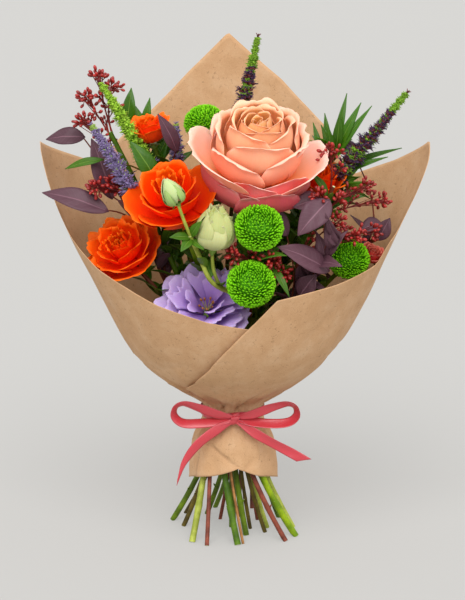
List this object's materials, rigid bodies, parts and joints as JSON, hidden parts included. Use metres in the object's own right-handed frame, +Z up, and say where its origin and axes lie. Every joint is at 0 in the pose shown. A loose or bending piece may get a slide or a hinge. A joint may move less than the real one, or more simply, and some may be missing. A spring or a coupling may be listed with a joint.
{
  "type": "mixed flower bouquet",
  "caption": "Hand-tied mixed bouquet of roses, lisianthus, button mums, flower spikes and bud sprays in a brown paper cone with a red satin bow.",
  "frame": {"origin": "middle of the central rose stem's cut end, on the surface that the bunch stands on", "axes": "+X to the right seen from the front, +Y to the back, +Z up along the bunch"},
  "size_m": [0.3558, 0.2356, 0.468],
  "materials": {
    "kraft_paper": "matte",
    "satin_ribbon": "satin",
    "binding_twine": "matte",
    "green_stem": "satin",
    "bright_green_stem": "satin",
    "brown_stem": "matte",
    "tan_stem": "matte",
    "olive_stem": "matte",
    "green_foliage": "satin",
    "burgundy_foliage": "matte",
    "red_bud_spray": "satin",
    "peach_petal": "satin",
    "orange_petal": "satin",
    "coral_petal": "satin",
    "mum_green": "matte",
    "bud_cream": "satin",
    "bud_pale_green": "satin",
    "lilac_petal": "satin",
    "spike_dark_purple": "matte",
    "spike_mauve": "matte",
    "spike_green": "matte"
  },
  "bodies": {
    "root": {"kraft_wrapper": "kraft_paper", "ribbon_bow": "satin_ribbon", "binding_twine": "binding_twine", "peach_rose_stem": "green_stem", "orange_rose_a_stem": "bright_green_stem", "orange_rose_b_stem": "brown_stem", "orange_rose_c_stem": "green_stem", "orange_rose_e_stem": "green_stem", "white_lisianthus_stem": "bright_green_stem", "purple_lisianthus_stem": "green_stem", "mum_front_stem": "green_stem", "mum_right_stem": "green_stem", "mum_back_stem": "tan_stem", "spike_back_stem": "olive_stem", "spike_right_stem": "olive_stem", "spike_left_stem": "olive_stem", "spike_middle_stem": "olive_stem", "bud_spray_left_stem": "red_bud_spray", "bud_spray_right_stem": "red_bud_spray", "bud_spray_front_stem": "red_bud_spray", "dark_leaves_left_stem": "burgundy_foliage", "dark_leaves_front_stem": "burgundy_foliage", "dark_leaves_right_stem": "burgundy_foliage", "green_leaves_left_stem": "green_foliage", "green_leaves_right_stem": "green_foliage", "peach_rose_bloom": "peach_petal", "orange_rose_a_bloom": "orange_petal", "orange_rose_b_bloom": "orange_petal", "orange_rose_c_bloom": "orange_petal", "orange_rose_e_bloom": "orange_petal", "coral_spray_rose_bloom": "coral_petal", "mum_head_upper": "mum_green", "mum_head_lower": "mum_green", "mum_head_right": "mum_green", "mum_head_back": "mum_green", "white_lisianthus_bud": "bud_cream", "small_lisianthus_bud": "bud_pale_green", "purple_lisianthus_bloom": "lilac_petal", "spike_head_back": "spike_dark_purple", "spike_head_right": "spike_dark_purple", "spike_head_green": "spike_green", "spike_head_mauve": "spike_mauve", "spike_head_middle": "spike_mauve"}
  },
  "joints": []
}
